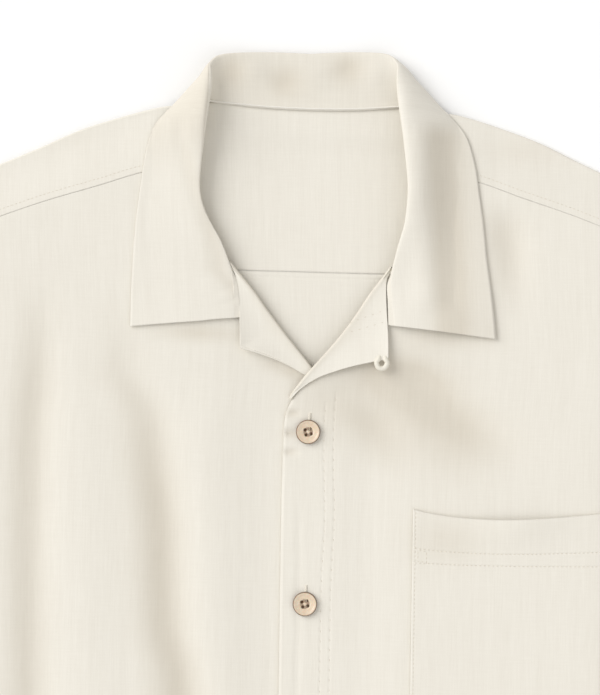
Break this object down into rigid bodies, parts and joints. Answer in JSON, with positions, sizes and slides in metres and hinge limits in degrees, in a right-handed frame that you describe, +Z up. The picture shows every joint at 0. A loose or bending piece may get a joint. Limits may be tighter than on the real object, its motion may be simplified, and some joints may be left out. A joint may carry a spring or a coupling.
{
  "type": "camp shirt",
  "caption": "Cream short-sleeved camp shirt laid flat: open notched collar, turned-out lapels, button loop, chest patch pocket and five buttons.",
  "frame": {"origin": "centre of the bounding box, on the surface that the shirt lies on", "axes": "+X towards the wearer's left, +Y from the hem to the collar, +Z up from the surface, out of the chest"},
  "size_m": [0.9006, 0.8236, 0.0225],
  "materials": {
    "cloth": "matt slubbed plain weave, cream",
    "facing": "matt slubbed plain weave, cream, right side out on the lapels",
    "button": "satin, beige, dished, with a fine speckle"
  },
  "bodies": {
    "root": {"back": "cloth", "yoke": "cloth", "front_left": "cloth", "front_right": "cloth", "lapel_left": "facing", "lapel_right": "facing", "collar": "cloth", "sleeve_left": "cloth", "sleeve_right": "cloth", "pocket": "cloth", "button_1": "button", "button_2": "button", "button_3": "button", "button_4": "button", "button_5": "button", "button_loop": "facing"}
  },
  "joints": []
}
